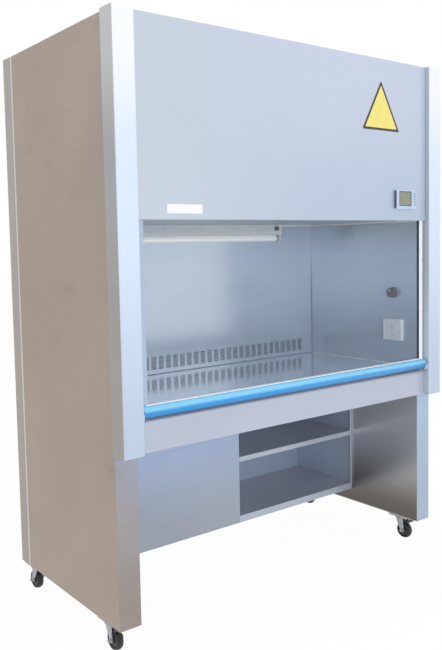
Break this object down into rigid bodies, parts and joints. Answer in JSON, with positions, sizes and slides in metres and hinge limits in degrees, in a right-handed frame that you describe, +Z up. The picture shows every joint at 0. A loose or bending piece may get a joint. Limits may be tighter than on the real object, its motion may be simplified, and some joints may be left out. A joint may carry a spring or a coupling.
{
  "type": "biosafety cabinet",
  "caption": "Floor-standing biosafety cabinet with a sliding glass sash, punched return grille, lamp, lower shelves and braked swivel castors.",
  "frame": {"origin": "centre of the footprint's bounding box on the floor", "axes": "+X across the front to the user's right, +Y from the front to the rear, +Z up"},
  "size_m": [1.54, 0.78, 1.99],
  "materials": {
    "side_steel": "horizontally brushed stainless",
    "post_steel": "fine brushed stainless",
    "cover_steel": "fine brushed stainless, cool sheen",
    "base_steel": "brushed stainless",
    "chamber_steel": "satin stainless",
    "tray_steel": "polished stainless",
    "shelf_steel": "satin stainless",
    "galvanised": "galvanised sheet",
    "glass": "clear laminated glass",
    "handle_blue": "blue anodised",
    "channel_white": "white powder coat",
    "seal_rubber": "matt",
    "white_paint": "white enamel",
    "tube_glass": "opal",
    "filter_media": "pleated fibre",
    "cast_grey": "cast",
    "motor_black": "black paint",
    "impeller_grey": "galvanised",
    "pulley_nylon": "nylon",
    "socket_white": "gloss",
    "cock_grey": "satin",
    "knob_plum": "satin",
    "bezel": "satin",
    "screen": "glossy",
    "key_blue": "satin",
    "zinc": "zinc plated",
    "wheel_black": "moulded",
    "pedal_dark": "dark zinc",
    "gland_grey": "nylon"
  },
  "bodies": {
    "cabinet": {"side_panel_left": "side_steel", "side_panel_right": "side_steel", "rear_panel": "side_steel", "front_post_left": "post_steel", "front_post_right": "post_steel", "front_cover": "cover_steel", "top_panel": "side_steel", "leg_inner_left": "base_steel", "leg_inner_right": "base_steel", "base_pan": "galvanised", "apron": "cover_steel", "work_tray": "tray_steel", "intake_grille": "tray_steel", "chamber_back_wall": "chamber_steel", "chamber_wall_left": "chamber_steel", "chamber_wall_right": "chamber_steel", "diffuser": "chamber_steel", "supply_filter": "filter_media", "exhaust_filter": "filter_media", "plenum_case": "galvanised", "inlet_ring": "galvanised", "fan_motor": "motor_black", "sash_channels": "channel_white", "sash_seals": "seal_rubber", "lamp_batten": "white_paint", "lamp_tube": "tube_glass", "socket_plate": "socket_white", "cock_body": "cock_grey", "control_housing": "bezel", "control_screen": "screen", "storage_front": "base_steel", "storage_divider": "shelf_steel", "storage_side": "shelf_steel", "storage_shelf": "shelf_steel", "storage_floor": "shelf_steel", "castor_plates": "zinc", "cable_gland": "gland_grey"},
    "sash": {"sash_glass": "glass", "sash_handle": "handle_blue"},
    "weight_left": {"counterweight_left": "cast_grey"},
    "weight_right": {"counterweight_right": "cast_grey"},
    "sheave_left": {"pulley_left": "pulley_nylon"},
    "sheave_right": {"pulley_right": "pulley_nylon"},
    "cock": {"cock_knob": "knob_plum"},
    "blower": {"fan_impeller": "impeller_grey"},
    "button_1": {"key_1": "key_blue"},
    "button_2": {"key_2": "key_blue"},
    "button_3": {"key_3": "key_blue"},
    "button_4": {"key_4": "key_blue"},
    "button_5": {"key_5": "key_blue"},
    "swivel_front_left": {"fork_front_left": "zinc"},
    "roller_front_left": {"wheel_front_left": "wheel_black"},
    "swivel_front_right": {"fork_front_right": "zinc"},
    "roller_front_right": {"wheel_front_right": "wheel_black"},
    "swivel_rear_left": {"fork_rear_left": "zinc"},
    "roller_rear_left": {"wheel_rear_left": "wheel_black"},
    "swivel_rear_right": {"fork_rear_right": "zinc"},
    "roller_rear_right": {"wheel_rear_right": "wheel_black"},
    "brake_left": {"brake_pedal_left": "pedal_dark"},
    "brake_right": {"brake_pedal_right": "pedal_dark"}
  },
  "joints": [
    {"name": "sash_slide", "type": "slide", "parent": "cabinet", "child": "sash", "axis": [0, 0, 1], "range_m": [0, 0.5]},
    {"name": "weight_slide_left", "type": "slide", "parent": "cabinet", "child": "weight_left", "axis": [0, 0, 1], "range_m": [-0.5, 0]},
    {"name": "pulley_turn_left", "type": "hinge", "parent": "cabinet", "child": "sheave_left", "pos_m": [-0.703, -0.351, 1.937], "axis": [0, 1, 0], "range_deg": [-1200, 1200]},
    {"name": "weight_slide_right", "type": "slide", "parent": "cabinet", "child": "weight_right", "axis": [0, 0, 1], "range_m": [-0.5, 0]},
    {"name": "pulley_turn_right", "type": "hinge", "parent": "cabinet", "child": "sheave_right", "pos_m": [0.703, -0.351, 1.937], "axis": [0, 1, 0], "range_deg": [-1200, 1200]},
    {"name": "cock_turn", "type": "hinge", "parent": "cabinet", "child": "cock", "pos_m": [0.655, -0.228, 1.078], "axis": [-1, 0, 0], "range_deg": [0, 90]},
    {"name": "blower_spin", "type": "hinge", "parent": "cabinet", "child": "blower", "pos_m": [0, 0.175, 1.66925], "axis": [0, 1, 0], "continuous": true},
    {"name": "key_press_1", "type": "slide", "parent": "cabinet", "child": "button_1", "axis": [0, 1, 0], "range_m": [0, 0.001], "stiffness_N_per_m": 300},
    {"name": "key_press_2", "type": "slide", "parent": "cabinet", "child": "button_2", "axis": [0, 1, 0], "range_m": [0, 0.001], "stiffness_N_per_m": 300},
    {"name": "key_press_3", "type": "slide", "parent": "cabinet", "child": "button_3", "axis": [0, 1, 0], "range_m": [0, 0.001], "stiffness_N_per_m": 300},
    {"name": "key_press_4", "type": "slide", "parent": "cabinet", "child": "button_4", "axis": [0, 1, 0], "range_m": [0, 0.001], "stiffness_N_per_m": 300},
    {"name": "key_press_5", "type": "slide", "parent": "cabinet", "child": "button_5", "axis": [0, 1, 0], "range_m": [0, 0.001], "stiffness_N_per_m": 300},
    {"name": "swivel_turn_front_left", "type": "hinge", "parent": "cabinet", "child": "swivel_front_left", "pos_m": [-0.73, -0.22, 0.088], "axis": [0, 0, 1], "continuous": true},
    {"name": "wheel_roll_front_left", "type": "hinge", "parent": "swivel_front_left", "child": "roller_front_left", "pos_m": [-0.73, -0.236, 0.035], "axis": [1, 0, 0], "continuous": true},
    {"name": "brake_press_left", "type": "hinge", "parent": "swivel_front_left", "child": "brake_left", "pos_m": [-0.73, -0.235, 0.0777], "axis": [1, 0, 0], "range_deg": [0, 15]},
    {"name": "swivel_turn_front_right", "type": "hinge", "parent": "cabinet", "child": "swivel_front_right", "pos_m": [0.73, -0.22, 0.088], "axis": [0, 0, 1], "continuous": true},
    {"name": "wheel_roll_front_right", "type": "hinge", "parent": "swivel_front_right", "child": "roller_front_right", "pos_m": [0.73, -0.236, 0.035], "axis": [1, 0, 0], "continuous": true},
    {"name": "brake_press_right", "type": "hinge", "parent": "swivel_front_right", "child": "brake_right", "pos_m": [0.73, -0.235, 0.0777], "axis": [1, 0, 0], "range_deg": [0, 15]},
    {"name": "swivel_turn_rear_left", "type": "hinge", "parent": "cabinet", "child": "swivel_rear_left", "pos_m": [-0.73, 0.335, 0.088], "axis": [0, 0, 1], "continuous": true},
    {"name": "wheel_roll_rear_left", "type": "hinge", "parent": "swivel_rear_left", "child": "roller_rear_left", "pos_m": [-0.73, 0.351, 0.035], "axis": [1, 0, 0], "continuous": true},
    {"name": "swivel_turn_rear_right", "type": "hinge", "parent": "cabinet", "child": "swivel_rear_right", "pos_m": [0.73, 0.335, 0.088], "axis": [0, 0, 1], "continuous": true},
    {"name": "wheel_roll_rear_right", "type": "hinge", "parent": "swivel_rear_right", "child": "roller_rear_right", "pos_m": [0.73, 0.351, 0.035], "axis": [1, 0, 0], "continuous": true}
  ],
  "couplings": [
    {"joint": "weight_slide_left", "follows": "sash_slide", "ratio": -1},
    {"joint": "pulley_turn_left", "follows": "sash_slide", "rad_per_m": -40.816},
    {"joint": "weight_slide_right", "follows": "sash_slide", "ratio": -1},
    {"joint": "pulley_turn_right", "follows": "sash_slide", "rad_per_m": 40.816}
  ]
}
